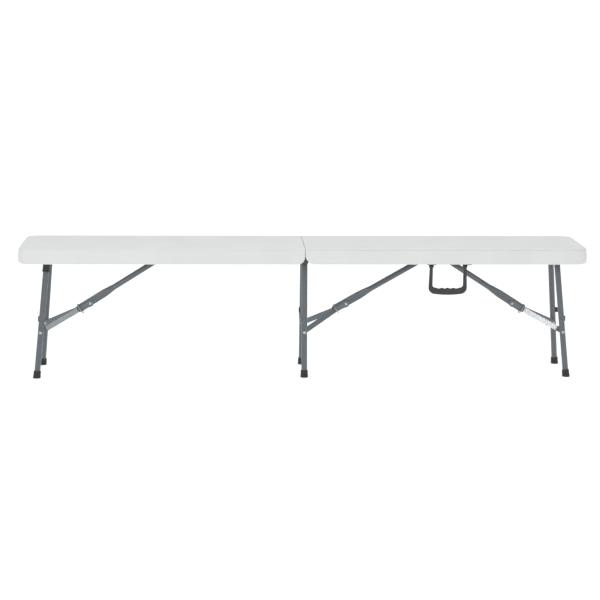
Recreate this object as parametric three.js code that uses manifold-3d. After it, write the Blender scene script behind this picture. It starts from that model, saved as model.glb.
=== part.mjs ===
// Fold-in-half bench: two moulded seat halves on steel rails, a fold hinge,
// three folding leg frames with jointed braces and lock rings, a carry handle.
// Millimetres, +Z up, +X along the seat, front is -Y, origin on the floor
// under the middle of the seat.
import * as THREE from "three";
import { mergeVertices } from "three/addons/utils/BufferGeometryUtils.js";
import Module from "manifold-3d";

// ---- seat ----
const LENGTH = 1830;
const HALF_WIDTH = 142.5;
const SEAT_TOP = 430;
const RIM_BOTTOM = 380;
const SEAM_GAP = 0.6; // half of the gap between the two halves
const TOP_EDGE_R = 4;
const END_EDGE_R = 17; // lower outer edge at the two ends
const SIDE_EDGE_R = 6; // lower edge at front and back
const SEAM_EDGE_R = { left: 21, right: 25 }; // lower corner of the rim at the seam
const PLAN_CORNER_R = 29;
const RECESS_TOP = 419.5;
const RECESS_HALF_WIDTH = 120;
const RECESS_END = 890;

// ---- rails ----
const RAIL_Y = [107.5, 119.5];
const RAIL_Z = [387, 419];
const RAIL_X = [30, 874];
const RAIL_WALL = 1.6;

// ---- fold hinge ----
const FOLD_Z = 373.5;
const FOLD_PIN_R = 3.7;
const FOLD_HOLE_R = 4;
const KNUCKLE_R = 6;
const RIGHT_LEAF_Y = [107.5, 112.9];
const LEFT_LEAF_Y = [113.5, 119.3];

// ---- leg frames ----
const TUBE_R = 9.5;
const PIVOT_Z = 400;
const JOURNAL_R = 6;
const SPLAY = 44.7 / 403; // sideways splay of a leg, mm per mm of height
const FOOT_HALF = 93.2; // half the leg spacing at the floor
const LEAN = 40 / 420; // lengthwise lean of the outer legs
const FOOT_X = 864;
const RIVET_Z = 147;
const CAP_H = 22.5;
const CATCH_Z = 190;

// ---- braces ----
const ANCHOR_Z = 401.5;
const LAP_L = 33; // length of the halved end, from the pin
const LAP_GAP = 0.7; // the halved end stops this far from the middle plane
const ANCHOR_R = 4;
const AXIS_RISE = 4; // the tube's axis passes this far above the elbow rivet
const BRACE_R = 9;
const BLADE_HALF_T = 2.5;
const BLADE_HALF_H = 13;
const BLADE_TAIL = -50;
const ARM_T = 2.4;
const ARM_Y0 = 4.1; // middle of an arm beside the blade
const ARM_BEND = 40;
const ARM_HALF_H = 8.5;
const ARM_END_R = 11; // rounded end round the elbow rivet
const ARM_TAB = 14; // the leg tab starts this far before the leg rivet
const ARM_TAB_GAP = 1.4;
const RING_R = 17;
const RING_WIRE_R = 1.5;
const RING_AT = -37;
const RING_DROP = -2; // ring centre below the tube's axis
const RIVET_R = 3;

// ---- handle ----
const HANDLE_X = 460;
const HANDLE_W = 124; // over the arms at the grip
const HANDLE_TOP_W = 119; // over the arms at the pivots
const HANDLE_ARM = 10.5;
const HANDLE_DROP = 93.5; // pivot to the underside of the grip
const HANDLE_Y = -131;
const HANDLE_Z = 373.5;

// dir +1: the frame folds towards +X and its brace runs towards +X.
// The elbow is given for dir +1; the right frame is built mirrored.
const FRAMES = {
  left: { dir: 1, footX: -FOOT_X, pivotX: -FOOT_X + LEAN * PIVOT_Z, elbow: [-695, 227.5] },
  centre: { dir: 1, footX: 2.5, pivotX: 2.5, elbow: [143, 225] },
  right: { dir: -1, footX: -FOOT_X, pivotX: -FOOT_X + LEAN * PIVOT_Z, elbow: [-694, 226] },
};

const wasm = await Module();
wasm.setup();

// ---------- solids ----------
function toSolid(geometry, matrix) {
  let g = geometry.index ? geometry.toNonIndexed() : geometry.clone();
  for (const k of Object.keys(g.attributes)) if (k !== "position") g.deleteAttribute(k);
  if (matrix) g.applyMatrix4(matrix);
  g = mergeVertices(g, 1e-4);
  const tri = new Uint32Array(g.index.array);
  if (matrix && matrix.determinant() < 0)
    for (let i = 0; i < tri.length; i += 3) [tri[i + 1], tri[i + 2]] = [tri[i + 2], tri[i + 1]];
  return new wasm.Manifold(
    new wasm.Mesh({ numProp: 3, vertProperties: g.attributes.position.array, triVerts: tri }),
  );
}
function toGeometry(solid) {
  const m = solid.getMesh();
  const g = new THREE.BufferGeometry();
  const v = new Float32Array(m.numVert * 3);
  for (let i = 0; i < m.numVert; i++) v.set(m.vertProperties.subarray(i * m.numProp, i * m.numProp + 3), i * 3);
  g.setAttribute("position", new THREE.BufferAttribute(v, 3));
  g.setIndex(new THREE.BufferAttribute(new Uint32Array(m.triVerts), 1));
  g.computeVertexNormals();
  return g;
}
function flip(geometry) {
  const g = geometry.index ? geometry.toNonIndexed() : geometry.clone();
  const p = g.attributes.position.array;
  for (let i = 0; i < p.length; i += 9)
    for (let k = 0; k < 3; k++) [p[i + 3 + k], p[i + 6 + k]] = [p[i + 6 + k], p[i + 3 + k]];
  return g;
}
function facingOut(geometry, matrix) {
  const s = toSolid(geometry, matrix);
  return s.volume() < 0 ? toSolid(flip(geometry), matrix) : s;
}
const at = (x, y, z) => new THREE.Matrix4().makeTranslation(x, y, z);
function box(x0, x1, y0, y1, z0, z1) {
  return toSolid(
    new THREE.BoxGeometry(x1 - x0, y1 - y0, z1 - z0),
    at((x0 + x1) / 2, (y0 + y1) / 2, (z0 + z1) / 2),
  );
}
// A round bar between two points.
function rod(a, b, r, sides = 16) {
  const A = new THREE.Vector3(...a), B = new THREE.Vector3(...b);
  const d = B.clone().sub(A), len = d.length();
  const q = new THREE.Quaternion().setFromUnitVectors(new THREE.Vector3(0, 1, 0), d.normalize());
  const m = new THREE.Matrix4().compose(A.add(B).multiplyScalar(0.5), q, new THREE.Vector3(1, 1, 1));
  return toSolid(new THREE.CylinderGeometry(r, r, len, sides), m);
}
// Turned piece: profile points [radius, height] along a direction.
function turned(points, origin, direction, sides = 20) {
  const g = new THREE.LatheGeometry(points.map((p) => new THREE.Vector2(p[0], p[1])), sides);
  const q = new THREE.Quaternion().setFromUnitVectors(
    new THREE.Vector3(0, 1, 0),
    new THREE.Vector3(...direction).normalize(),
  );
  return facingOut(g, new THREE.Matrix4().compose(new THREE.Vector3(...origin), q, new THREE.Vector3(1, 1, 1)));
}
// Closed skin through a stack of rings that all have the same number of points.
function loft(rings) {
  const n = rings[0].length;
  const pos = [];
  const tri = (a, b, c) => pos.push(...a, ...b, ...c);
  for (let k = 0; k + 1 < rings.length; k++)
    for (let i = 0; i < n; i++) {
      const j = (i + 1) % n;
      tri(rings[k][i], rings[k][j], rings[k + 1][j]);
      tri(rings[k][i], rings[k + 1][j], rings[k + 1][i]);
    }
  const cap = (ring, last) => {
    const c = [0, 1, 2].map((k) => ring.reduce((s, p) => s + p[k], 0) / n);
    for (let i = 0; i < n; i++) {
      const j = (i + 1) % n;
      last ? tri(ring[i], ring[j], c) : tri(ring[j], ring[i], c);
    }
  };
  cap(rings[0], false);
  cap(rings[rings.length - 1], true);
  const g = new THREE.BufferGeometry();
  g.setAttribute("position", new THREE.BufferAttribute(new Float32Array(pos), 3));
  return facingOut(g);
}
// A flat plate: outline points [x, z], between two values of y.
function plate(points, y0, y1) {
  const s = new THREE.Shape(points.map((p) => new THREE.Vector2(p[0], p[1])));
  const m = new THREE.Matrix4().makeRotationX(Math.PI / 2).setPosition(0, Math.max(y0, y1), 0);
  return facingOut(new THREE.ExtrudeGeometry(s, { depth: Math.abs(y1 - y0), bevelEnabled: false }), m);
}
const union = (...s) => s.reduce((a, b) => a.add(b));
const cut = (a, ...s) => s.reduce((r, b) => r.subtract(b), a);
const mirrorX = (s) => toSolid(toGeometry(s), new THREE.Matrix4().makeScale(-1, 1, 1));
const mirrorY = (s) => toSolid(toGeometry(s), new THREE.Matrix4().makeScale(1, -1, 1));
const SIDES = [["front", -1], ["rear", 1]];

// ---------- finishes ----------
const finish = {
  seat: new THREE.MeshStandardMaterial({ color: 0xdcdedc, roughness: 0.6, metalness: 0 }),
  steel: new THREE.MeshStandardMaterial({ color: 0x6b7378, roughness: 0.45, metalness: 0.3 }),
  zinc: new THREE.MeshStandardMaterial({ color: 0xc8cccf, roughness: 0.3, metalness: 0.9 }),
  black: new THREE.MeshStandardMaterial({ color: 0x2b2d2f, roughness: 0.6, metalness: 0 }),
};
const bench = new THREE.Group();
function piece(name, solid, look) {
  const mesh = new THREE.Mesh(toGeometry(solid), finish[look]);
  mesh.name = name;
  bench.add(mesh);
}

// ---------- seat halves ----------
function seatHalf(seamR) {
  const outer = LENGTH / 2;
  const arc = (R, d) => (d <= 0 ? 0 : R - Math.sqrt(Math.max(0, R * R - d * d)));
  const levels = [380, 381, 383, 386, 390, 394, 399, 405, 426, 428, 429.4, 430];
  const rings = levels.map((z) => {
    const top = arc(TOP_EDGE_R, z - (SEAT_TOP - TOP_EDGE_R));
    const ix = top + arc(END_EDGE_R, RIM_BOTTOM + END_EDGE_R - z);
    const iy = top + arc(SIDE_EDGE_R, RIM_BOTTOM + SIDE_EDGE_R - z);
    const is = arc(seamR, RIM_BOTTOM + seamR - z) + top * 0.35;
    const x0 = SEAM_GAP + is, x1 = outer - ix, y = HALF_WIDTH - iy;
    const r = PLAN_CORNER_R - Math.min(ix, 8);
    const ring = [[x0, -y, z]];
    for (let k = 0; k <= 8; k++) {
      const t = -Math.PI / 2 + (k / 8) * (Math.PI / 2);
      ring.push([x1 - r + r * Math.cos(t), -y + r + r * Math.sin(t), z]);
    }
    for (let k = 0; k <= 8; k++) {
      const t = (k / 8) * (Math.PI / 2);
      ring.push([x1 - r + r * Math.cos(t), y - r + r * Math.sin(t), z]);
    }
    ring.push([x0, y, z]);
    return ring;
  });
  const s = new THREE.Shape();
  const w = RECESS_HALF_WIDTH, e = RECESS_END, r = 14;
  s.moveTo(-5, -w);
  s.lineTo(e - r, -w);
  s.absarc(e - r, -w + r, r, -Math.PI / 2, 0);
  s.lineTo(e, w - r);
  s.absarc(e - r, w - r, r, 0, Math.PI / 2);
  s.lineTo(-5, w);
  s.closePath();
  const pocket = toSolid(
    new THREE.ExtrudeGeometry(s, { depth: RECESS_TOP - 370, bevelEnabled: false, curveSegments: 5 }),
    at(0, 0, 370),
  );
  return cut(loft(rings), pocket);
}
piece("seat_panel_right", seatHalf(SEAM_EDGE_R.right), "seat");
piece("seat_panel_left", mirrorX(seatHalf(SEAM_EDGE_R.left)), "seat");

// ---------- rails ----------
for (const [end, side] of SIDES) {
  let r = box(RAIL_X[0], RAIL_X[1], RAIL_Y[0], RAIL_Y[1], RAIL_Z[0], RAIL_Z[1]);
  r = cut(
    r,
    box(RAIL_X[0] - 5, RAIL_X[1] + 5, RAIL_Y[0] + RAIL_WALL, RAIL_Y[1] - RAIL_WALL, RAIL_Z[0] + RAIL_WALL, RAIL_Z[1] - RAIL_WALL),
    rod([-FRAMES.left.pivotX, 100, PIVOT_Z], [-FRAMES.left.pivotX, 125, PIVOT_Z], 8.3, 24),
  );
  if (side < 0) r = mirrorY(r);
  piece("rail_right_" + end, r, "steel");
  piece("rail_left_" + end, mirrorX(r), "steel");
}

// ---------- fold hinge ----------
// Each leaf has a tongue in the hollow end of its rail and a knuckle on the
// fold axis. The right leaf also carries the centre frame's pivot bush.
{
  const z0 = RAIL_Z[0] + RAIL_WALL + 0.6, z1 = RAIL_Z[1] - RAIL_WALL - 0.6;
  const right = cut(
    union(
      plate([[-11.5, 398], [-11.5, 414], [29.5, 414], [29.5, 389.5], [17, 389.5], [6, 373.5], [-6, 373.5], [-11.5, 392]], ...RIGHT_LEAF_Y),
      box(29, 60, RAIL_Y[0] + RAIL_WALL + 0.4, RIGHT_LEAF_Y[1], z0 + 1, Math.min(z1, 413.5)),
      rod([0, RIGHT_LEAF_Y[0], FOLD_Z], [0, RIGHT_LEAF_Y[1], FOLD_Z], KNUCKLE_R, 20),
    ),
    rod([0, 100, FOLD_Z], [0, 125, FOLD_Z], FOLD_HOLE_R, 18),
    rod([FRAMES.centre.pivotX, 100, PIVOT_Z], [FRAMES.centre.pivotX, 125, PIVOT_Z], 8.3, 24),
  );
  const left = cut(
    union(
      plate([[-29.5, 389.5], [-29.5, 414], [-4, 414], [7.5, 402], [7.5, 388], [6, 373.5], [-6, 373.5], [-17, 389.5]], ...LEFT_LEAF_Y),
      box(-60, -29, LEFT_LEAF_Y[0], RAIL_Y[1] - RAIL_WALL - 0.4, z0 + 1, Math.min(z1, 413.5)),
      rod([0, LEFT_LEAF_Y[0], FOLD_Z], [0, LEFT_LEAF_Y[1], FOLD_Z], KNUCKLE_R, 20),
    ),
    rod([0, 100, FOLD_Z], [0, 125, FOLD_Z], FOLD_HOLE_R, 18),
  );
  const pin = union(
    rod([0, 105, FOLD_Z], [0, 121, FOLD_Z], FOLD_PIN_R, 18),
    rod([0, 104.6, FOLD_Z], [0, 107.2, FOLD_Z], 5.6, 18),
    rod([0, 119.6, FOLD_Z], [0, 121.4, FOLD_Z], 5.2, 18),
  );
  for (const [end, side] of SIDES) {
    const place = (s) => (side < 0 ? mirrorY(s) : s);
    piece("hinge_leaf_right_" + end, place(right), "steel");
    piece("hinge_leaf_left_" + end, place(left), "steel");
    piece("hinge_pin_" + end, place(pin), "steel");
  }
}

// ---------- leg frames and braces ----------
// All points are worked out for a brace that runs towards +X.
function linkage(f) {
  const P = [f.pivotX, PIVOT_Z], F = [f.footX, 0];
  const C = [F[0] + ((P[0] - F[0]) * RIVET_Z) / PIVOT_Z, RIVET_Z];
  const B = f.elbow;
  const r = Math.hypot(C[0] - P[0], C[1] - P[1]);
  const b = Math.hypot(C[0] - B[0], C[1] - B[1]);
  // Folded, the leg lies along +X at the pivot's height; the anchor stands
  // where the brace tube and the arms then lie in one line.
  const Cf = [P[0] + r, PIVOT_Z];
  let lo = B[0] + 150, hi = B[0] + 420;
  for (let i = 0; i < 90; i++) {
    const x = (lo + hi) / 2;
    const gap = Math.hypot(x - Cf[0], ANCHOR_Z - Cf[1]) + b - Math.hypot(x - B[0], ANCHOR_Z - B[1]);
    if (gap < 0) lo = x;
    else hi = x;
  }
  const A = [(lo + hi) / 2, ANCHOR_Z];
  return { P, F, C, B, A, Cf, r, b, a: Math.hypot(A[0] - B[0], A[1] - B[1]) };
}
// ring of points across the brace tube: half thickness t along Y, half height h
function section(u, t, h, round, frame) {
  const n = 16, ring = [];
  for (let i = 0; i < n; i++) {
    const q = ((i + 0.5) / n) * 2 * Math.PI;
    const cs = Math.cos(q), sn = Math.sin(q);
    const p = frame(u, h * Math.sign(sn) * Math.abs(sn) ** round);
    ring.push([p[0], t * Math.sign(cs) * Math.abs(cs) ** round, p[1]]);
  }
  return ring;
}
const anchors = {};
for (const [key, f] of Object.entries(FRAMES)) {
  const { P, F, C, B, A, a, b } = linkage(f);
  anchors[key] = f.dir * A[0];
  const out = (s) => (f.dir < 0 ? mirrorX(s) : s);
  const legHalf = (z) => FOOT_HALF - SPLAY * z;
  const legAt = (z, side) => [F[0] + ((P[0] - F[0]) * z) / PIVOT_Z, side * legHalf(z), z];
  const journal = key === "centre" ? RIGHT_LEAF_Y[1] + 0.2 : 119;

  // welded frame: pivot tube with journals, two splayed legs, a catch plate
  let frame = union(
    rod([P[0], -104.5, PIVOT_Z], [P[0], 104.5, PIVOT_Z], TUBE_R, 20),
    rod([P[0], -journal, PIVOT_Z], [P[0], journal, PIVOT_Z], JOURNAL_R, 20),
  );
  for (const side of [-1, 1]) frame = union(frame, rod(legAt(PIVOT_Z, side), legAt(7, side), TUBE_R, 20));
  const cx = legAt(CATCH_Z, -1);
  frame = union(frame, box(cx[0] - TUBE_R - 3.2, cx[0] - 4, cx[1] - 5, cx[1] + 5, CATCH_Z - 8.5, CATCH_Z + 8.5));
  for (const side of [-1, 1])
    frame = cut(frame, rod([C[0], side * 55, C[1]], [C[0], side * 100, C[1]], RIVET_R + 0.3, 14));
  piece("leg_frame_" + key, out(frame), "steel");

  // black clip on the rear leg: a block on the outer side and a band behind it
  {
    const q = legAt(CATCH_Z, 1), proud = key === "centre" ? 2.2 : 9;
    const p0 = legAt(CATCH_Z - 7.5, 1), p1 = legAt(CATCH_Z + 7.5, 1);
    const clip = cut(
      union(
        rod(p0, p1, TUBE_R + 2, 20),
        box(q[0] - TUBE_R - proud, q[0] - 6, q[1] - 5.5, q[1] + 5.5, CATCH_Z - 7.5, CATCH_Z + 7.5),
      ),
      rod(legAt(CATCH_Z - 30, 1), legAt(CATCH_Z + 30, 1), TUBE_R + 0.35, 20),
      box(q[0] + 1, q[0] + 30, q[1] - 30, q[1] + 30, CATCH_Z - 20, CATCH_Z + 20),
      box(q[0] - 30, q[0] + 30, q[1] - 30, q[1] - 5.5, CATCH_Z - 20, CATCH_Z + 20),
    );
    piece("leg_clip_" + key, out(clip), "black");
  }

  for (const [end, side] of SIDES) {
    // pivot bush with a flange on the inner side
    const flangeY = 105.2, bodyEnd = key === "centre" ? RIGHT_LEAF_Y[1] - 0.1 : 119.2;
    const bush = cut(
      union(
        rod([P[0], side * flangeY, PIVOT_Z], [P[0], side * bodyEnd, PIVOT_Z], 8, 24),
        rod([P[0], side * flangeY, PIVOT_Z], [P[0], side * 107.2, PIVOT_Z], 11, 24),
      ),
      rod([P[0], side * 95, PIVOT_Z], [P[0], side * 130, PIVOT_Z], JOURNAL_R + 0.3, 20),
    );
    piece("leg_bush_" + key + "_" + end, out(bush), "black");

    // foot cap pushed over the leg end, sole flat on the floor
    const up = [P[0] - F[0], -side * SPLAY * PIVOT_Z, PIVOT_Z];
    const L = Math.hypot(...up), dir = up.map((v) => v / L);
    const start = [F[0] - dir[0] * 4, side * FOOT_HALF - dir[1] * 4, -4 * dir[2]];
    const cap = turned(
      [[0, 0], [12.4, 0], [12.3, 9], [11.7, 15], [11.7, CAP_H + 3], [11, CAP_H + 4], [TUBE_R + 0.3, CAP_H + 4],
        [TUBE_R + 0.3, 10.4], [0, 10.4]],
      start, dir, 24);
    piece("foot_cap_" + key + "_" + end, out(cap.subtract(box(-2000, 2000, -400, 400, -60, 0))), "black");

    // rivet through the leg; its inner end stops at the leg's inner face
    const yOut = side * (legHalf(C[1]) + TUBE_R);
    const yIn = side * (legHalf(C[1]) - TUBE_R + 0.4);
    const rivet = union(
      turned([[0, 0], [5.5, 0], [5.4, 1], [4.2, 2.2], [2.2, 2.9], [0, 3.1]], [C[0], yOut + side * 0.9, C[1]], [0, side, 0], 18),
      rod([C[0], yOut + side * 1.4, C[1]], [C[0], yIn, C[1]], RIVET_R, 14),
    );
    piece("leg_rivet_" + key + "_" + end, out(rivet), "zinc");
  }

  // brace tube: u runs up the tube's axis from the elbow, v is across it
  const tilt = Math.atan2(A[1] - B[1], A[0] - B[0]) - Math.asin(AXIS_RISE / a);
  const U = [Math.cos(tilt), Math.sin(tilt)], V = [-U[1], U[0]];
  const O = [B[0] + V[0] * AXIS_RISE, B[1] + V[1] * AXIS_RISE];
  const tf = (u, v) => [O[0] + U[0] * u + V[0] * v, O[1] + U[1] * u + V[1] * v];
  const uA = Math.sqrt(a * a - AXIS_RISE * AXIS_RISE);
  const rings = [];
  for (const q of [1, 0.85, 0.55, 0.25])
    rings.push(section(BLADE_TAIL + 12 * (1 - q), BLADE_HALF_T, BLADE_HALF_H * Math.sqrt(1 - 0.97 * q * q), 0.4, tf));
  for (const [u, t, h, e] of [
    [BLADE_TAIL + 12, BLADE_HALF_T, BLADE_HALF_H, 0.4],
    [54, BLADE_HALF_T, BLADE_HALF_H, 0.4],
    [64, 3.4, 12.7, 0.55],
    [75, 5.8, 11.7, 0.8],
    [86, 8, 10.2, 0.95],
    [97, BRACE_R, BRACE_R, 1],
    [uA + 7, BRACE_R, BRACE_R, 1],
    [uA + 10, 6.5, 7, 1],
  ]) rings.push(section(u, t, h, e, tf));
  // The centre and right braces meet at one bracket: the end of each is halved
  // along its length, and the halves pass side by side.
  const lap = key === "centre" ? -1 : key === "right" ? 1 : 0;
  const across = (u) => {
    const y0 = lap < 0 ? -LAP_GAP : -14, y1 = lap < 0 ? 14 : LAP_GAP;
    const p = tf(u, -14), q = tf(u, 14);
    return [[p[0], y0, p[1]], [p[0], y1, p[1]], [q[0], y1, q[1]], [q[0], y0, q[1]]];
  };
  const tube = cut(
    lap ? cut(loft(rings), loft([across(uA - LAP_L), across(uA + 14)])) : loft(rings),
    rod([B[0], -20, B[1]], [B[0], 20, B[1]], RIVET_R + 0.3, 14),
    rod([A[0], -20, A[1]], [A[0], 20, A[1]], ANCHOR_R + 0.3, 16),
  );
  piece("brace_tube_" + key, out(tube), "steel");

  // arms: w runs from the elbow to the leg rivet, v is up
  const W = [(C[0] - B[0]) / b, (C[1] - B[1]) / b], N = [W[1], -W[0]];
  const af = (w, v) => [B[0] + W[0] * w + N[0] * v, B[1] + W[1] * w + N[1] * v];
  const tabStart = b - ARM_TAB;
  const tabY = (w) => legHalf(C[1]) - TUBE_R - ARM_TAB_GAP - ARM_T / 2 + 0.11 * (w - b);
  const flare = (tabY(tabStart) - ARM_Y0) / (tabStart - ARM_BEND);
  const skew = ARM_T * Math.hypot(1, flare);
  const yAt = (w) => (w <= ARM_BEND ? ARM_Y0 : w >= tabStart ? tabY(w) : ARM_Y0 + (w - ARM_BEND) * flare);
  const H = ARM_HALF_H, R = ARM_END_R;
  const round = (w) => Math.sqrt(Math.max(0.3, R * R - w * w));
  const stations = [
    [-R, ARM_T, 1], [-9.9, ARM_T, round(9.9)], [-7.7, ARM_T, round(7.7)], [-4.4, ARM_T, round(4.4)], [0, ARM_T, R],
    [7, ARM_T, 10], [18, ARM_T, H], [ARM_BEND, ARM_T, H], [ARM_BEND + 2, skew, H],
    [tabStart - 2, skew, H], [tabStart, ARM_T * 1.05, H], [b, ARM_T, H],
    [b + 4, ARM_T, H - 1.1], [b + 6.9, ARM_T, H - 3.6], [b + 8.2, ARM_T, 1.6],
  ];
  const arm = union(
    cut(
      loft(stations.map(([w, t, h]) => {
        const p = af(w, -h), q = af(w, h), y = yAt(w);
        return [[p[0], y - t / 2, p[1]], [p[0], y + t / 2, p[1]], [q[0], y + t / 2, q[1]], [q[0], y - t / 2, q[1]]];
      })),
      rod([B[0], 0, B[1]], [B[0], 20, B[1]], RIVET_R + 0.3, 14),
    ),
    turned([[0, 0], [4.6, 0], [4.5, 1.2], [3, 2.4], [0, 2.6]], [C[0], tabY(b) - ARM_T / 2 + 0.4, C[1]], [0, -1, 0], 16),
  );
  piece("brace_arm_" + key + "_rear", out(arm), "steel");
  piece("brace_arm_" + key + "_front", out(mirrorY(arm)), "steel");

  const headY = ARM_Y0 + ARM_T / 2 + 0.3;
  const head = (s) => turned([[0, 0], [5.2, 0], [5.1, 0.8], [3.9, 1.8], [0, 2.3]], [B[0], s * headY, B[1]], [0, s, 0], 18);
  piece(
    "elbow_rivet_" + key,
    out(union(rod([B[0], -headY - 0.6, B[1]], [B[0], headY + 0.6, B[1]], RIVET_R, 14), head(1), head(-1))),
    "zinc",
  );

  // lock ring: a closed wire ring round the tube and both arms
  const c = tf(RING_AT, RING_DROP);
  const m = new THREE.Matrix4().makeRotationY(-tilt + Math.PI / 2).setPosition(c[0], 0, c[1]);
  piece("lock_ring_" + key, out(toSolid(new THREE.TorusGeometry(RING_R, RING_WIRE_R, 8, 28), m)), "zinc");

  // pin: right through the left bracket, a stub in its own cheek on the shared one
  const pinHead = (s) => rod([A[0], s * 17.6, A[1]], [A[0], s * 15.3, A[1]], 5.8, 16);
  piece(
    "brace_pin_" + key,
    out(lap
      ? union(rod([A[0], lap * 16, A[1]], [A[0], lap * (LAP_GAP + 0.4), A[1]], ANCHOR_R, 16), pinHead(lap))
      : union(rod([A[0], -16, A[1]], [A[0], 16, A[1]], ANCHOR_R, 16), pinHead(-1), pinHead(1))),
    "zinc",
  );
}

// brace brackets: a channel under the seat, cheeks each side of the tubes
function braceBracket(x0, x1, pins) {
  const zTop = RECESS_TOP - 0.3;
  let s = union(
    box(x0 - 4, x1 + 4, -24, 24, zTop - 2.5, zTop),
    box(x0, x1, 12, 15, ANCHOR_Z - 9, zTop - 1),
    box(x0, x1, -15, -12, ANCHOR_Z - 9, zTop - 1),
  );
  for (const [x, ya, yb] of pins) s = cut(s, rod([x, ya, ANCHOR_Z], [x, yb, ANCHOR_Z], ANCHOR_R + 0.3, 16));
  return s;
}
piece("brace_bracket_left", braceBracket(anchors.left - 12, anchors.left + 12, [[anchors.left, -30, 30]]), "steel");
piece("brace_bracket_right", braceBracket(
  Math.min(anchors.centre, anchors.right) - 12,
  Math.max(anchors.centre, anchors.right) + 12,
  [[anchors.centre, -30, 0], [anchors.right, 0, 30]],
), "steel");

// black collar at the top of the left front leg
{
  const leg = (z) => [-FOOT_X + LEAN * z, -(FOOT_HALF - SPLAY * z), z];
  piece(
    "leg_collar_left_front",
    cut(rod(leg(353), leg(371), TUBE_R + 2.4, 20), rod(leg(340), leg(385), TUBE_R + 0.35, 20)),
    "black",
  );
}

// ---------- carry handle ----------
{
  // the arms spread a little on their way down to the grip
  const w = HANDLE_W / 2, top = HANDLE_TOP_W / 2, arm = HANDLE_ARM, yb = -HANDLE_DROP, grip = yb + 23.4;
  const s = new THREE.Shape();
  s.moveTo(-top, 0);
  s.lineTo(-w, yb + 23);
  s.bezierCurveTo(-w, yb + 10, -w + 10, yb + 4, -w + 22, yb + 2.6);
  s.quadraticCurveTo(0, yb - 2.6, w - 22, yb + 2.6);
  s.bezierCurveTo(w - 10, yb + 4, w, yb + 10, w, yb + 23);
  s.lineTo(top, 0);
  s.lineTo(top - arm, 0);
  s.lineTo(w - arm - 1, grip + 9.5);
  s.quadraticCurveTo(w - arm - 1, grip + 0.4, w - arm - 11, grip);
  // finger grips along the inside
  const n = 4, x1 = 37.6, step = (2 * x1) / n;
  s.lineTo(x1, grip);
  for (let i = 0; i < n; i++) {
    const x = x1 - i * step;
    s.quadraticCurveTo(x - step / 2, grip - 5.6, x - step, grip);
  }
  s.lineTo(-w + arm + 11, grip);
  s.quadraticCurveTo(-w + arm + 1, grip + 0.4, -w + arm + 1, grip + 9.5);
  s.lineTo(-top + arm, 0);
  s.closePath();
  const g = new THREE.ExtrudeGeometry(s, {
    depth: 4, bevelEnabled: true, bevelThickness: 2, bevelSize: 1.6, bevelOffset: -1.6, bevelSegments: 2, curveSegments: 5,
  });
  let bail = toSolid(g, new THREE.Matrix4().makeRotationX(Math.PI / 2).setPosition(HANDLE_X, HANDLE_Y + 2, HANDLE_Z));
  bail = cut(bail, box(HANDLE_X - 100, HANDLE_X + 100, HANDLE_Y - 30, HANDLE_Y + 30, HANDLE_Z - 2, HANDLE_Z + 20));
  // the grip is fuller than the arms
  const xs = [-46, -42, -30, 0, 30, 42, 46];
  const fuller = loft(xs.map((x) => {
    const k = Math.abs(x) > 45 ? 0 : Math.abs(x) > 41 ? 0.8 : 1;
    const ring = [];
    for (let i = 0; i < 12; i++) {
      const q = ((i + 0.5) / 12) * 2 * Math.PI;
      ring.push([HANDLE_X + x, HANDLE_Y + (3.2 + 2.2 * k) * Math.cos(q), HANDLE_Z + yb + 10.4 + (5 + 2.6 * k) * Math.sin(q)]);
    }
    return ring;
  }));
  bail = union(bail, fuller);
  for (const sx of [-1, 1]) {
    const x = HANDLE_X + sx * (top - arm / 2);
    bail = union(
      bail,
      rod([x - arm / 2, HANDLE_Y, HANDLE_Z], [x + arm / 2, HANDLE_Y, HANDLE_Z], 4, 20),
      rod([x - 6.9, HANDLE_Y, HANDLE_Z], [x + 6.9, HANDLE_Y, HANDLE_Z], 2.5, 16),
    );
  }
  piece("carry_handle", bail, "black");
  for (const [end, sx, x0, x1] of [["left", -1, -14.5, 14.5], ["right", 1, -8.5, 20.5]]) {
    const x = HANDLE_X + sx * (top - arm / 2);
    let bracket = box(x + x0, x + x1, -141, -121, 378.2, RIM_BOTTOM - 0.3);
    for (const k of [-1, 1])
      bracket = union(bracket, box(Math.min(x + k * 5.6, x + k * 7.2), Math.max(x + k * 5.6, x + k * 7.2), HANDLE_Y - 4.2, HANDLE_Y + 4.2, 369.3, 379));
    bracket = cut(bracket, rod([x - 30, HANDLE_Y, HANDLE_Z], [x + 30, HANDLE_Y, HANDLE_Z], 2.9, 16));
    piece("handle_bracket_" + end, bracket, "black");
  }
}

export default bench;
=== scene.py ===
import math

import bmesh
import bpy
from mathutils import Matrix, Vector


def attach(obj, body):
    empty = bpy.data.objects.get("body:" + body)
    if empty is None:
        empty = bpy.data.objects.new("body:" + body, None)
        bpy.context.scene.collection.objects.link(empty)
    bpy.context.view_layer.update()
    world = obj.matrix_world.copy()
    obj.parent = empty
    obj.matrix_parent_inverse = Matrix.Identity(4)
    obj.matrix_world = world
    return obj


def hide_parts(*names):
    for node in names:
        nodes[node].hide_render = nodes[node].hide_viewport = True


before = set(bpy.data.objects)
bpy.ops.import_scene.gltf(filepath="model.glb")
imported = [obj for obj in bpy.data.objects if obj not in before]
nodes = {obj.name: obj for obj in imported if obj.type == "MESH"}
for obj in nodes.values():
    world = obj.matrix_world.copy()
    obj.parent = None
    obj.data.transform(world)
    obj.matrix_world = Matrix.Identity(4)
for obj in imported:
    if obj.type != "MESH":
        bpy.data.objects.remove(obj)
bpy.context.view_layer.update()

MM = 0.001

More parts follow.
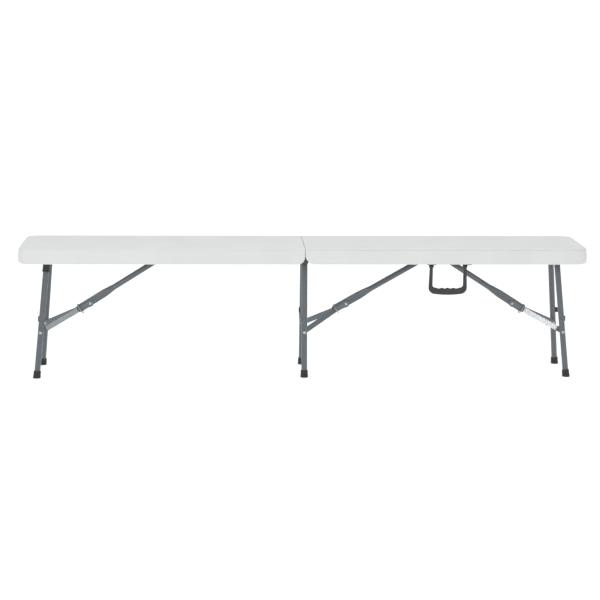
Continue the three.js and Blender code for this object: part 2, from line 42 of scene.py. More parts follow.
# ------------------------------------------------------------------ sizes, mm
LENGTH, HALF_W, TOP, RIM = 1830.0, 142.5, 430.0, 380.0
SEAM_GAP, TOP_R, END_R, SIDE_R, PLAN_R, DRAFT = 0.45, 5.5, 11.0, 3.5, 42.0, 3.8
SEAM_R = {"left": 24.0, "right": 31.0}
CREASE = 426.0
PIVOT_Z, SPLAY, FOOT_HALF, LEAN, FOOT_X, RIVET_Z, CATCH_Z = 400.0, 44.7 / 403, 93.2, 40 / 420, 864.0, 147.0, 190.0
TUBE_R, ANCHOR_Z, RISE, BEND = 9.5, 401.5, 4.0, 40.0
FRAMES = {
    "left": dict(dir=1, foot=-FOOT_X, pivot=-FOOT_X + LEAN * PIVOT_Z, elbow=(-695.0, 227.5)),
    "centre": dict(dir=1, foot=2.5, pivot=2.5, elbow=(143.0, 225.0)),
    "right": dict(dir=-1, foot=-FOOT_X, pivot=-FOOT_X + LEAN * PIVOT_Z, elbow=(-694.0, 226.0)),
}
HALF = {"left": "left_half", "centre": "right_half", "right": "right_half"}


# ------------------------------------------------------------------ materials
def new_mat(name):
    m = bpy.data.materials.new(name)
    m.use_nodes = True
    nt = m.node_tree
    bsdf = nt.nodes["Principled BSDF"]
    return m, nt, bsdf


def coords(nt, scale=(1, 1, 1)):
    tc = nt.nodes.new("ShaderNodeTexCoord")
    mp = nt.nodes.new("ShaderNodeMapping")
    mp.inputs["Scale"].default_value = scale
    nt.links.new(tc.outputs["Object"], mp.inputs["Vector"])
    return mp.outputs["Vector"]


def noise(nt, vec, scale, detail=3.0, rough=0.5):
    n = nt.nodes.new("ShaderNodeTexNoise")
    n.inputs["Scale"].default_value = scale
    n.inputs["Detail"].default_value = detail
    n.inputs["Roughness"].default_value = rough
    nt.links.new(vec, n.inputs["Vector"])
    return n.outputs["Fac"]


def ramp(nt, fac, stops):
    r = nt.nodes.new("ShaderNodeValToRGB")
    e = r.color_ramp.elements
    while len(e) < len(stops):
        e.new(0.5)
    for el, (p, c) in zip(e, stops):
        el.position = p
        el.color = (*c, 1) if len(c) == 3 else c
    nt.links.new(fac, r.inputs["Fac"])
    return r.outputs["Color"]


def to_range(nt, fac, a, b):
    m = nt.nodes.new("ShaderNodeMapRange")
    m.inputs["To Min"].default_value = a
    m.inputs["To Max"].default_value = b
    nt.links.new(fac, m.inputs["Value"])
    return m.outputs["Result"]


def bump(nt, bsdf, layers):
    normal = None
    for height, strength, distance in layers:
        b = nt.nodes.new("ShaderNodeBump")
        b.inputs["Strength"].default_value = strength
        b.inputs["Distance"].default_value = distance
        nt.links.new(height, b.inputs["Height"])
        if normal is not None:
            nt.links.new(normal, b.inputs["Normal"])
        normal = b.outputs["Normal"]
    nt.links.new(normal, bsdf.inputs["Normal"])


def seat_material():
    """White moulded plastic with a fine pebble."""
    m, nt, p = new_mat("seat_plastic")
    v = coords(nt)
    cells = nt.nodes.new("ShaderNodeTexVoronoi")
    cells.feature = "SMOOTH_F1"
    cells.inputs["Scale"].default_value = 420
    cells.inputs["Smoothness"].default_value = 0.6
    nt.links.new(v, cells.inputs["Vector"])
    broad = noise(nt, v, 9, 4)
    fine = noise(nt, v, 900, 2)
    col = ramp(nt, broad, [(0.3, (0.653, 0.675, 0.661)), (0.7, (0.683, 0.702, 0.693))])
    nt.links.new(col, p.inputs["Base Color"])
    nt.links.new(to_range(nt, broad, 0.50, 0.60), p.inputs["Roughness"])
    p.inputs["Specular IOR Level"].default_value = 0.35
    bump(nt, p, [(cells.outputs["Distance"], 0.35, 0.0004), (fine, 0.12, 0.0002)])
    return m


def powder_material(name, dark, light, rough=(0.38, 0.5), painted_shade=None, dimple=0.2, coat=0.5):
    """Grey hammertone powder coat: soft dimples a few millimetres across."""
    m, nt, p = new_mat(name)
    v = coords(nt)
    cells = nt.nodes.new("ShaderNodeTexVoronoi")
    cells.feature = "SMOOTH_F1"
    cells.inputs["Scale"].default_value = 330
    cells.inputs["Smoothness"].default_value = 0.8
    nt.links.new(v, cells.inputs["Vector"])
    col = ramp(nt, cells.outputs["Distance"], [(0.15, light), (0.65, dark)])
    if painted_shade:
        # painted shade: the colour darkens towards the end that lives in the recess, where the seat shades it
        split = nt.nodes.new("ShaderNodeSeparateXYZ")
        nt.links.new(v, split.inputs["Vector"])
        span = nt.nodes.new("ShaderNodeMapRange")
        span.interpolation_type = "SMOOTHSTEP"
        span.inputs["From Min"].default_value, span.inputs["From Max"].default_value = painted_shade[0], painted_shade[1]
        span.inputs["To Min"].default_value, span.inputs["To Max"].default_value = 1.0, painted_shade[2]
        nt.links.new(split.outputs["Z"], span.inputs["Value"])
        dim = nt.nodes.new("ShaderNodeVectorMath")
        dim.operation = "SCALE"
        nt.links.new(col, dim.inputs["Vector"])
        nt.links.new(span.outputs["Result"], dim.inputs["Scale"])
        col = dim.outputs["Vector"]
    nt.links.new(col, p.inputs["Base Color"])
    broad = noise(nt, v, 40, 3)
    nt.links.new(to_range(nt, broad, *rough), p.inputs["Roughness"])
    p.inputs["Metallic"].default_value = 0.25
    p.inputs["Coat Weight"].default_value = coat
    p.inputs["Coat Roughness"].default_value = 0.13
    bump(nt, p, [(cells.outputs["Distance"], dimple, 0.0004)])
    return m


def zinc_material():
    m, nt, p = new_mat("zinc_plate")
    v = coords(nt)
    n1 = noise(nt, v, 260, 3)
    col = ramp(nt, n1, [(0.3, (0.36, 0.38, 0.39)), (0.7, (0.50, 0.52, 0.53))])
    nt.links.new(col, p.inputs["Base Color"])
    nt.links.new(to_range(nt, n1, 0.28, 0.40), p.inputs["Roughness"])
    p.inputs["Metallic"].default_value = 1.0
    bump(nt, p, [(noise(nt, v, 1500, 2), 0.08, 0.0002)])
    return m


def black_material(name, dark, light, rough=(0.42, 0.55), grain=700):
    m, nt, p = new_mat(name)
    v = coords(nt)
    n1 = noise(nt, v, 60, 4)
    col = ramp(nt, n1, [(0.3, dark), (0.7, light)])
    nt.links.new(col, p.inputs["Base Color"])
    nt.links.new(to_range(nt, n1, *rough), p.inputs["Roughness"])
    bump(nt, p, [(noise(nt, v, grain, 2), 0.18, 0.0003)])
    return m


SEAT = seat_material()
STEEL = powder_material("powder_coat", (0.076, 0.092, 0.105), (0.119, 0.141, 0.158))
# painted shade: this copy darkens to 0.34 of its colour from z 0.33 m up to 0.39 m, towards the seat
STEEL_SHADE_TO_SEAT = powder_material("powder_coat_painted_shade_to_seat", (0.076, 0.092, 0.105), (0.119, 0.141, 0.158), (0.38, 0.5), (0.330, 0.390, 0.34))
# painted light: the arms' copy of the powder coat has 1.2 times its base colour, to lift the arms
STEEL_FLAT_LIT = powder_material("powder_coat_flat_painted_light", (0.092, 0.111, 0.126), (0.143, 0.169, 0.188), (0.4, 0.48), None, 0.03, 0.68)
# painted shade: a darker copy of the powder coat for the rails, hinges and brackets under the deck, where the seat
# shades them
STEEL_RECESS_SHADE = powder_material("powder_coat_painted_recess_shade", (0.036, 0.042, 0.047), (0.052, 0.060, 0.066), (0.5, 0.62))
ZINC = zinc_material()
BLACK = black_material("black_plastic", (0.010, 0.012, 0.013), (0.018, 0.020, 0.021))
# painted highlight: a pale colour for the tongue below the centre rear clip, standing in for a glint
PALE_HIGHLIGHT = black_material("pale_painted_highlight", (0.46, 0.45, 0.42), (0.54, 0.53, 0.50))
HANDLE = black_material("handle_plastic", (0.022, 0.023, 0.025), (0.034, 0.035, 0.037), (0.36, 0.46), 900)


# ------------------------------------------------------------------ mesh tools
def obj_from(name, verts, faces):
    me = bpy.data.meshes.new(name)
    me.from_pydata([tuple(c * MM for c in v) for v in verts], [], faces)
    bm = bmesh.new()
    bm.from_mesh(me)
    bmesh.ops.remove_doubles(bm, verts=bm.verts, dist=1e-7)
    bmesh.ops.recalc_face_normals(bm, faces=bm.faces)
    bm.to_mesh(me)
    bm.free()
    o = bpy.data.objects.new(name, me)
    bpy.context.scene.collection.objects.link(o)
    return o


def loft(name, rings):
    n = len(rings[0])
    verts = [p for r in rings for p in r]
    faces = []
    for k in range(len(rings) - 1):
        for i in range(n):
            j = (i + 1) % n
            faces.append((k * n + i, k * n + j, (k + 1) * n + j, (k + 1) * n + i))
    faces.append(tuple(range(n - 1, -1, -1)))
    last = (len(rings) - 1) * n
    faces.append(tuple(range(last, last + n)))
    return obj_from(name, verts, faces)


def axes(direction):
    d = Vector(direction).normalized()
    a = d.cross(Vector((0, 0, 1)) if abs(d.z) < 0.9 else Vector((1, 0, 0))).normalized()
    return d, a, d.cross(a)


def lathe(name, profile, origin, direction, sides=40):
    d, a, b = axes(direction)
    o = Vector(origin)
    rings = []
    for r, h in profile:
        r = max(r, 0.02)
        rings.append([tuple(o + d * h + (a * math.cos(t) + b * math.sin(t)) * r)
                      for t in (2 * math.pi * i / sides for i in range(sides))])
    return loft(name, rings)


def rod(name, p, q, r, sides=40, edge=0.5):
    p, q = Vector(p), Vector(q)
    length = (q - p).length
    return lathe(name, [(r - edge, 0), (r - edge * 0.3, edge * 0.3), (r, edge), (r, length - edge),
                        (r - edge * 0.3, length - edge * 0.3), (r - edge, length)], p, q - p, sides)


def block(name, x0, x1, y0, y1, z0, z1, edge=0.6, steps=3):
    bm = bmesh.new()
    bmesh.ops.create_cube(bm, size=1)
    for v in bm.verts:
        v.co = Vector(((x0 + x1) / 2 + v.co.x * (x1 - x0), (y0 + y1) / 2 + v.co.y * (y1 - y0),
                       (z0 + z1) / 2 + v.co.z * (z1 - z0))) * MM
    bmesh.ops.bevel(bm, geom=list(bm.edges), offset=edge * MM, segments=steps, profile=0.5, affect="EDGES")
    me = bpy.data.meshes.new(name)
    bm.to_mesh(me)
    bm.free()
    o = bpy.data.objects.new(name, me)
    bpy.context.scene.collection.objects.link(o)
    return o


def boolean(base, others, op="UNION"):
    for o in others:
        m = base.modifiers.new("b", "BOOLEAN")
        m.operation = op
        m.solver = "MANIFOLD"
        m.object = o
        dg = bpy.context.evaluated_depsgraph_get()
        me = bpy.data.meshes.new_from_object(base.evaluated_get(dg))
        base.modifiers.clear()
        old = base.data
        base.data = me
        bpy.data.meshes.remove(old)
        bpy.data.objects.remove(o)
    return base


def mirror_x(o):
    o.data.transform(Matrix.Scale(-1, 4, (1, 0, 0)))
    o.data.flip_normals()
    return o


def done(o, name, mat, body, replaced=(), angle=32):
    """Names, shades, paints and hangs a finished piece on its body."""
    o.name = name
    o.data.name = name
    o.data.materials.clear()
    o.data.materials.append(mat)
    for p in o.data.polygons:
        p.use_smooth = True
        p.material_index = 0
    o.data.set_sharp_from_angle(angle=math.radians(angle))
    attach(o, body)
    if replaced:
        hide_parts(*replaced)
    return o


def dress(node, mat, bevel=0.0004):
    """A CAD node that stays: welded, its edges broken, shaded smooth."""
    o = nodes[node]
    o.data.materials.clear()
    o.data.materials.append(mat)
    for p in o.data.polygons:
        p.use_smooth = True
        p.material_index = 0
    w = o.modifiers.new("weld", "WELD")
    w.merge_threshold = 2e-6
    if bevel:
        b = o.modifiers.new("edge", "BEVEL")
        b.width = bevel
        b.segments = 2
        b.limit_method = "ANGLE"
        b.angle_limit = math.radians(40)
    s = o.modifiers.new("split", "EDGE_SPLIT")
    s.split_angle = math.radians(32)


# ------------------------------------------------------------------ seat halves
def arc(R, d):
    return 0.0 if d <= 0 else R - math.sqrt(max(0.0, R * R - d * d))


def plan(x0, x1, y, r, r0, z, n=14, m=5):
    """Outline of a half in plan: big corners at the end, small ones at the seam."""
    ring = []
    for cx, cy, rr, a0, k in ((x1 - r, -y + r, r, -90, n), (x1 - r, y - r, r, 0, n),
                              (x0 + r0, y - r0, r0, 90, m), (x0 + r0, -y + r0, r0, 180, m)):
        for i in range(k + 1):
            t = math.radians(a0 + 90 * i / k)
            ring.append((cx + rr * math.cos(t), cy + rr * math.sin(t), z))
    return ring


def seat_half(side):
    seam_r = SEAM_R[side]
    zs = [RIM + END_R * (1 - math.cos(math.radians(a))) for a in range(0, 91, 9)]
    zs += [RIM + 19, RIM + 22, RIM + 25.5]
    zs += [TOP - TOP_R + TOP_R * math.sin(math.radians(a)) for a in range(0, 91, 10)]
    zs = [(round(z, 4), 0.0) for z in zs if not CREASE - 0.3 < z < CREASE + 1.7]
    # a fine crease runs round the edge between the top and the skirt
    deep = 0.5 if side == "left" else 0.85
    zs += [(CREASE, 0.0), (CREASE + 0.15, deep), (CREASE + 1.15, deep), (CREASE + 1.3, 0.0)]
    rings = []
    for z, cut in sorted(set(zs)):
        top = arc(TOP_R, z - (TOP - TOP_R)) + cut
        # the end wall leans out a little on its way down
        ix = top + arc(END_R, RIM + END_R - z) + DRAFT * min(1.0, max(0.0, (z - RIM - 6) / 40))
        iy = top + arc(SIDE_R, RIM + SIDE_R - z)
        sx = arc(seam_r, RIM + seam_r - z) + arc(1.4, z - (TOP - 1.4))
        r = PLAN_R - min(ix, 8)
        rings.append(plan(SEAM_GAP + sx, LENGTH / 2 - ix, HALF_W - iy, r, 2.0, z))
    shell = loft("shell", rings)
    # the recess under the deck, open towards the seam
    rings = []
    for z, g in ((372, 3.2), (RIM, 3.2), (RIM + 0.6, 1.9), (RIM + 1.6, 0.7), (RIM + 3, 0), (418.6, 0), (419.2, -0.4), (419.5, -1.0)):
        rings.append(plan(-20, 890 + g, 120 + g, 14 + g, 1.0, z))
    boolean(shell, [loft("pocket", rings)], "DIFFERENCE")
    if side == "left":
        mirror_x(shell)
    return done(shell, "seat_shell_" + side, SEAT, side + "_half", ["seat_panel_" + side], 40)


for side in ("left", "right"):
    seat_half(side)


# ------------------------------------------------------------------ leg frames and braces
def linkage(f):
    P, F = (f["pivot"], PIVOT_Z), (f["foot"], 0.0)
    C = (F[0] + (P[0] - F[0]) * RIVET_Z / PIVOT_Z, RIVET_Z)
    B = f["elbow"]
    r = math.hypot(C[0] - P[0], C[1] - P[1])
    b = math.hypot(C[0] - B[0], C[1] - B[1])
    cf = (P[0] + r, PIVOT_Z)
    lo, hi = B[0] + 150, B[0] + 420
    for _ in range(90):
        x = (lo + hi) / 2
        gap = math.hypot(x - cf[0], ANCHOR_Z - cf[1]) + b - math.hypot(x - B[0], ANCHOR_Z - B[1])
        if gap < 0:
            lo = x
        else:
            hi = x
    A = ((lo + hi) / 2, ANCHOR_Z)
    return P, F, C, B, A, math.hypot(A[0] - B[0], A[1] - B[1]), b


def smooth(a, b, t):
    t = min(1.0, max(0.0, t))
    t = t * t * (3 - 2 * t)
    return a + (b - a) * t


def squircle(u, t, h, e, place, n=36):
    ring = []
    for i in range(n):
        q = (i + 0.5) / n * 2 * math.pi
        c, s = math.cos(q), math.sin(q)
        x, z = place(u, h * math.copysign(abs(s) ** e, s))
        ring.append((x, t * math.copysign(abs(c) ** e, c), z))
    return ring


# collar at the top of the left front leg
def collar():
    def at(z):
        return Vector((-FOOT_X + LEAN * z, -(FOOT_HALF - SPLAY * z), z))

    d = (at(371) - at(341)).normalized()
    length = (at(371) - at(341)).length
    prof = [(9.7, 0), (10.9, 0), (11.8, 0.7), (12.1, 1.6), (12.1, 5.0), (11.7, 5.8), (11.5, 8.5), (11.5, length - 8), (11.7, length - 6),
            (12.0, length - 5), (12.0, length - 1.0), (11.4, length), (9.7, length)]
    o = lathe("collar", prof, at(341), d, 48)
    boolean(o, [rod("bore", at(330), at(382), 9.62, 48)], "DIFFERENCE")
    return done(o, "leg_collar_left_front_moulded", BLACK, "leg_left", ["leg_collar_left_front"])


collar()


# tongue below the clip on the centre frame's rear leg; its pale colour is a painted highlight
def highlight_tongue():
    box = [Vector(c) / MM for c in nodes["leg_clip_centre"].bound_box]
    x0, z0 = min(c.x for c in box), min(c.z for c in box)
    mid = FOOT_HALF - SPLAY * (z0 - 10)
    face = FRAMES["centre"]["foot"] - TUBE_R
    rings = []
    for k in range(9):
        t = k / 8
        x = x0 + 0.4 + (face - 1.2 - x0 - 0.4) * t ** 1.7
        z = z0 + 0.6 - 25 * t
        w = 4.2 - 1.2 * t
        y = mid + SPLAY * 25 * (t - 0.4)
        rings.append([(x, y - w, z), (x + 2.2, y - w, z), (x + 2.2, y + w, z), (x, y + w, z)])
    return done(loft("tongue", rings), "leg_clip_highlight_centre", PALE_HIGHLIGHT, "leg_centre")


highlight_tongue()

for key, f in FRAMES.items():
    P, F, C, B, A, a, b = linkage(f)
    leg, tube_body, arm_body, ring_body = "leg_" + key, "tube_" + key, "arms_" + key, "ring_" + key
    out = mirror_x if f["dir"] < 0 else (lambda o: o)

    def half(z):
        return FOOT_HALF - SPLAY * z

    def at_leg(z, s):
        return Vector((F[0] + (P[0] - F[0]) * z / PIVOT_Z, s * half(z), z))

    journal = 113.1 if key == "centre" else 119.0
    frame_o = rod("cross", (P[0], -104.5, PIVOT_Z), (P[0], 104.5, PIVOT_Z), TUBE_R, 48)
    parts = [rod("j", (P[0], -journal, PIVOT_Z), (P[0], journal, PIVOT_Z), 6, 32)]
    for s in (-1, 1):
        d = (at_leg(0, s) - at_leg(PIVOT_Z, s)).normalized()
        top = at_leg(PIVOT_Z, s)
        parts.append(rod("l", top, at_leg(8, s), TUBE_R, 48))
        # weld bead round the top of the leg
        parts.append(lathe("w", [(9.0, 5.0), (11.6, 7.6), (11.5, 9.0), (10.6, 10.6), (9.3, 11.8)], top, d, 48))
    c = at_leg(CATCH_Z, -1)
    parts.append(block("c", c.x - TUBE_R - 3.1, c.x - 4, c.y - 5, c.y + 5, CATCH_Z - 8.5, CATCH_Z + 8.5, 1.0))
    boolean(frame_o, parts)
    done(out(frame_o), "leg_frame_" + key + "_coated", STEEL_SHADE_TO_SEAT, leg, ["leg_frame_" + key])

    for end, s in (("front", -1), ("rear", 1)):
        d = (at_leg(PIVOT_Z, s) - at_leg(0, s)).normalized()
        start = at_leg(0, s) - d * 4
        prof = [(0, 0), (11.9, 0), (12.4, 0.6), (12.4, 5), (12.35, 9)]
        for k in range(3):
            h = 10.6 + k * 3.4
            prof += [(12.2 - k * 0.12, h), (11.6 - k * 0.1, h + 0.5), (11.6 - k * 0.1, h + 1.3), (12.1 - k * 0.14, h + 1.8)]
        prof += [(11.7, 21.5), (11.7, 25.2), (11.3, 26.1), (10.6, 26.5), (9.85, 26.4), (9.7, 24), (9.7, 11), (0, 11)]
        cap = lathe("cap", prof, start, d, 48)
        for v in cap.data.vertices:
            v.co.z = max(v.co.z, 0.0)
        done(out(cap), "foot_cap_" + key + "_" + end + "_moulded", BLACK, leg, ["foot_cap_" + key + "_" + end])

        y_out = s * (half(C[1]) + TUBE_R)
        y_in = s * (half(C[1]) - TUBE_R + 0.4)
        head = lathe("head", [(0, 0), (5.1, 0), (5.45, 0.35), (5.4, 1.0), (4.9, 1.7), (4.0, 2.35), (2.8, 2.8), (1.4, 3.02), (0, 3.1)],
                     (C[0], y_out + s * 0.9, C[1]), (0, s, 0), 40)
        washer = lathe("washer", [(0, -0.5), (5.5, -0.5), (5.5, 0.3), (0, 0.3)], (C[0], y_out + s * 0.9, C[1]), (0, s, 0), 40)
        shank = rod("shank", (C[0], y_in, C[1]), (C[0], y_out + s * 1.4, C[1]), 3, 24)
        boolean(head, [washer, shank])
        done(out(head), "leg_rivet_" + key + "_" + end + "_plated", ZINC, leg, ["leg_rivet_" + key + "_" + end])

    # brace tube: flattened to a blade at the elbow, round towards the seat
    tilt = math.atan2(A[1] - B[1], A[0] - B[0]) - math.asin(RISE / a)
    U = (math.cos(tilt), math.sin(tilt))
    V = (-U[1], U[0])
    O = (B[0] + V[0] * RISE, B[1] + V[1] * RISE)

    def tf(u, v, O=O, U=U, V=V):
        return O[0] + U[0] * u + V[0] * v, O[1] + U[1] * u + V[1] * v

    uA = math.sqrt(a * a - RISE * RISE)
    rings = []
    for k in range(9):
        q = math.cos(math.radians(90 * k / 8))
        rings.append(squircle(-50 + 12 * (1 - q) + 0.01 * k, 2.45, max(1.2, 13 * math.sqrt(max(0.0, 1 - q * q * 0.985))), 0.4, tf))
    rings.append(squircle(-20, 2.5, 13, 0.4, tf))
    rings.append(squircle(40, 2.5, 13, 0.4, tf))
    for k in range(17):
        t = k / 16
        rings.append(squircle(50 + 47 * t, smooth(2.5, 9, t), 13 - 4 * min(1, t * 1.05) ** 1.3, 0.4 + 0.6 * min(1, t * 1.35), tf))
    rings += [squircle(uA + 6, 9, 9, 1, tf), squircle(uA + 8.5, 8.2, 8.2, 1, tf), squircle(uA + 10, 6.5, 6.8, 1, tf)]
    tube = loft("tube", rings)
    lap = {"centre": -1, "right": 1}.get(key, 0)
    if lap:
        # the seat end is halved: the centre and right tubes lie side by side in one bracket
        y0, y1 = (-0.7, 14) if lap < 0 else (-14, 0.7)
        cutter = []
        for u in (uA - 33, uA + 14):
            (px, pz), (qx, qz) = tf(u, -14), tf(u, 14)
            cutter.append([(px, y0, pz), (px, y1, pz), (qx, y1, qz), (qx, y0, qz)])
        boolean(tube, [loft("lap", cutter)], "DIFFERENCE")
    done(out(tube), "brace_tube_" + key + "_coated", STEEL_SHADE_TO_SEAT, tube_body, ["brace_tube_" + key])

    # arms: flat bars beside the blade, then splayed out to the legs
    W = ((C[0] - B[0]) / b, (C[1] - B[1]) / b)
    N = (W[1], -W[0])

    def af(w, v, W=W, N=N):
        return B[0] + W[0] * w + N[0] * v, B[1] + W[1] * w + N[1] * v

    tab0 = b - 14

    def tab_y(w):
        return half(C[1]) - TUBE_R - 1.4 - 1.2 + 0.11 * (w - b)

    flare = (tab_y(tab0) - 4.1) / (tab0 - BEND)

    def arm_y(w):
        """Middle of the arm across the bench, its bends eased over 10 mm."""
        r = 5.0
        if w < BEND - r:
            return 4.1, 0.0
        if w < BEND + r:
            t = (w - BEND + r) / (2 * r)
            return 4.1 + flare * r * t * t, flare * t
        if w < tab0 - r:
            return 4.1 + (w - BEND) * flare, flare
        if w < tab0 + r:
            t = (w - tab0 + r) / (2 * r)
            y0 = 4.1 + (tab0 - r - BEND) * flare
            return y0 + 2 * r * (flare * t + (0.11 - flare) * t * t / 2), flare + (0.11 - flare) * t
        return tab_y(w), 0.11

    ws = [-11 + 0.05, -10.7, -10, -8.8, -7, -4.8, -2, 0, 3, 7, 12, 18, 28] + [35 + i * 1.25 for i in range(9)]
    ws += [60, 80, 100, 120, tab0 - 8] + [tab0 - 5 + i * 1.25 for i in range(9)] + [b, b + 2, b + 4, b + 5.5, b + 6.8, b + 7.6, b + 7.95]
    for s, end in ((-1, "front"), (1, "rear")):
        rings = []
        for w in sorted(ws):
            if w < 0:
                h = math.sqrt(max(0.05, 121 - w * w))
            elif w < 18:
                h = smooth(11, 8.5, w / 18)
            elif w > b:
                h = 8.5 * math.sqrt(max(0.01, 1 - ((w - b) / 8.2) ** 2))
            else:
                h = 8.5
            y, slope = arm_y(w)
            skew = math.hypot(1, slope)
            t, e = 1.2 * skew, min(0.45, h * 0.4)
            ring = []
            for dy, dv in ((-t, -h + e), (-t + e, -h), (t - e, -h), (t, -h + e), (t, h - e), (t - e, h), (-t + e, h), (-t, h - e)):
                x, z = af(w, dv)
                ring.append((x, s * (y + dy), z))
            rings.append(ring)
        bar = loft("bar", rings)
        yb = s * (tab_y(b) - 1.2 + 0.3)
        tip = lathe("rh", [(0, 0), (4.5, 0), (4.6, 0.5), (4.2, 1.4), (3.2, 2.2), (1.6, 2.55), (0, 2.6)], (C[0], yb, C[1]), (0, -s, 0), 32)
        done(out(tip), "arm_rivet_head_" + key + "_" + end, ZINC, arm_body)
        # the arms take the lighter copy of the powder coat, painted light
        done(out(bar), "brace_arm_" + key + "_" + end + "_coated", STEEL_FLAT_LIT, arm_body, ["brace_arm_" + key + "_" + end])

    hy = 4.1 + 1.2 + 0.1
    rivet = rod("r", (B[0], -hy - 0.6, B[1]), (B[0], hy + 0.6, B[1]), 3, 24)
    heads = [lathe("h", [(0, 0), (4.9, 0), (5.2, 0.3), (5.1, 0.8), (4.5, 1.45), (3.4, 2.0), (1.8, 2.35), (0, 2.45)], (B[0], s * hy, B[1]), (0, s, 0), 40)
             for s in (-1, 1)]
    boolean(rivet, heads)
    done(out(rivet), "elbow_rivet_" + key + "_plated", ZINC, tube_body, ["elbow_rivet_" + key])

    # lock ring: closed wire ring square to the brace
    cx, cz = tf(-37, -2)
    R, r, nu, nv = 17.0, 1.5, 72, 14
    vs, fs = [], []
    for i in range(nu):
        t = 2 * math.pi * i / nu
        for j in range(nv):
            q = 2 * math.pi * j / nv
            rad = R + r * math.cos(q)
            along, across, y = r * math.sin(q), rad * math.cos(t), rad * math.sin(t)
            vs.append((cx + U[0] * along + V[0] * across, y, cz + U[1] * along + V[1] * across))
            fs.append((i * nv + j, ((i + 1) % nu) * nv + j, ((i + 1) % nu) * nv + (j + 1) % nv, i * nv + (j + 1) % nv))
    done(out(obj_from("ring", vs, fs)), "lock_ring_" + key + "_plated", ZINC, ring_body, ["lock_ring_" + key], 60)


# ------------------------------------------------------------------ carry handle
def handle():
    hx, hy, hz = 460.0, -131.0, 373.5
    arm, drop, top, wide = 10.5, 93.5, 59.5, 62.0
    st = []
    for z in (0, -10, -22, -36, -50, -60):
        k = z / (-drop + 23)
        xo = top + (wide - top) * k
        st.append(((-xo, z), (-(top - arm + (wide - 2.2 - top) * k), z), 3.8))
    for i in range(13):
        t = math.radians(180 + 7.5 * i)
        ro, ri = 22.0, 10.0
        st.append(((-wide + ro + ro * math.cos(t), -drop + 2.6 + (ro - 1.6) * (1 + math.sin(t))),
                   (-wide + arm + 2.2 + ri + ri * math.cos(t), -70.1 + ri + ri * math.sin(t)), 3.8 + 1.2 * i / 12))
    half = wide - 22
    n = 64
    for i in range(1, n // 2 + 1):
        k = -1 + 2 * i / n
        xi = 40.5 * k
        u = (xi + 37.6) / 18.8
        scallop = 2.8 * math.sin(math.pi * (u % 1)) ** 0.9 if 0 < u < 4 else 0.0
        st.append(((half * k, -drop + 2.6 * k * k), (xi, -70.1 - scallop), 5.0))
    full = st + [((-o[0], o[1]), (-i[0], i[1]), t) for o, i, t in reversed(st[:-1])]
    rings = []
    for o, i, t in full:
        cxm, czm = (o[0] + i[0]) / 2, (o[1] + i[1]) / 2
        dx, dz = (i[0] - o[0]) / 2, (i[1] - o[1]) / 2
        ring = []
        for k in range(28):
            q = 2 * math.pi * k / 28
            c, s = math.cos(q), math.sin(q)
            u, y = math.copysign(abs(c) ** 0.42, c), math.copysign(abs(s) ** 0.5, s) * t
            ring.append((hx + cxm + dx * u, hy + y, hz + czm + dz * u))
        rings.append(ring)
    bail = loft("bail", rings)
    extra = []
    for s in (-1, 1):
        x = hx + s * (top - arm / 2)
        extra.append(rod("e", (x - arm / 2 + 0.1, hy, hz), (x + arm / 2 - 0.1, hy, hz), 4, 36, 0.8))
        extra.append(rod("p", (x - 6.9, hy, hz), (x + 6.9, hy, hz), 2.5, 24))
    boolean(bail, extra)
    return done(bail, "carry_handle_moulded", HANDLE, "handle", ["carry_handle"], 45)


handle()

# ------------------------------------------------------------------ CAD nodes that stay
for name in nodes:
    if nodes[name].hide_render:
        continue
    # the parts under the deck take the powder coat darkened as painted shade
    if name.startswith(("rail", "hinge", "brace_bracket")):
        dress(name, STEEL_RECESS_SHADE, 0.0006)
    elif name.startswith("brace_pin"):
        dress(name, ZINC, 0.0003)
    else:
        dress(name, BLACK, 0.0004)


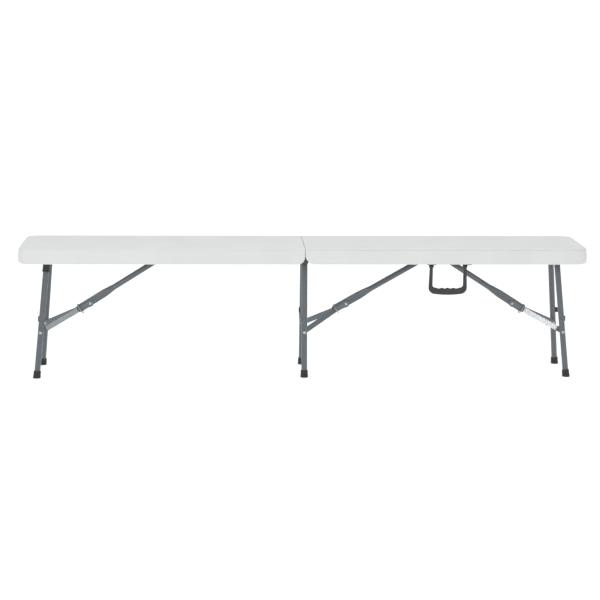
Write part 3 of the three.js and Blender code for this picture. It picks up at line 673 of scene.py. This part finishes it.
# ------------------------------------------------------------------ stage
def stage():
    me = bpy.data.meshes.new("floor")
    s = 400.0
    me.from_pydata([(-s, -s, 0), (s, -s, 0), (s, s, 0), (-s, s, 0)], [], [(0, 1, 2, 3)])
    floor = bpy.data.objects.new("floor", me)
    floor.location.z = -0.0004
    bpy.context.scene.collection.objects.link(floor)
    m, nt, p = new_mat("floor_white")
    p.inputs["Base Color"].default_value = (0.35, 0.35, 0.35, 1)
    p.inputs["Roughness"].default_value = 0.9
    p.inputs["Specular IOR Level"].default_value = 0.1
    p.inputs["Emission Color"].default_value = (1, 1, 1, 1)
    p.inputs["Emission Strength"].default_value = 0.78
    me.materials.append(m)
    w = bpy.data.worlds.new("studio")
    w.use_nodes = True
    nt = w.node_tree
    bg = nt.nodes["Background"]
    bg.inputs["Strength"].default_value = 1.0
    tc = nt.nodes.new("ShaderNodeTexCoord")
    up = nt.nodes.new("ShaderNodeSeparateXYZ")
    nt.links.new(tc.outputs["Generated"], up.inputs["Vector"])
    sky = ramp(nt, to_range(nt, up.outputs["Z"], 0.0, 1.0), [(0.0, (0.565, 0.565, 0.565)), (1.0, (1.02, 1.02, 1.02))])
    nt.links.new(sky, bg.inputs["Color"])
    bpy.context.scene.world = w

    def area(name, loc, aim, size, power):
        d = bpy.data.lights.new(name, "AREA")
        d.shape = "RECTANGLE"
        d.size, d.size_y = size
        d.energy = power
        o = bpy.data.objects.new(name, d)
        o.location = loc
        o.rotation_mode = "QUATERNION"
        o.rotation_quaternion = (Vector(aim) - Vector(loc)).to_track_quat("-Z", "Y")
        bpy.context.scene.collection.objects.link(o)

    area("strip", (-1.87, -3.81, 1.08), (0.78, -0.03, 0.18), (0.42, 0.55), 22)
    area("side", (2.25, -3.52, 1.04), (-0.78, -0.03, 0.18), (0.42, 0.55), 6.5)
    area("top", (-0.2, 0.2, 3.6), (0, 0, 0.4), (3.6, 2.4), 25.5)


def camera():
    yaw, pitch, roll = math.radians(2.868), math.radians(11.105), math.radians(0.515)
    fwd = Vector((math.sin(yaw) * math.cos(pitch), math.cos(yaw) * math.cos(pitch), -math.sin(pitch)))
    right = Vector((math.cos(yaw), -math.sin(yaw), 0))
    up = right.cross(fwd)
    r2 = math.cos(roll) * right + math.sin(roll) * up
    u2 = -math.sin(roll) * right + math.cos(roll) * up
    data = bpy.data.cameras.new("camera")
    data.sensor_width = 36
    data.lens = 1629.3 * 36 / 600
    data.clip_start, data.clip_end = 0.05, 1000
    cam = bpy.data.objects.new("camera", data)
    bpy.context.scene.collection.objects.link(cam)
    m = Matrix((r2, u2, -fwd)).transposed().to_4x4()
    m.translation = Vector((-0.272, -5.254, 1.270))
    cam.matrix_world = m
    bpy.context.scene.camera = cam


stage()
camera()
bpy.context.scene.view_settings.view_transform = "Standard"
bpy.context.scene.view_settings.look = "None"

bpy.context.view_layer.update()
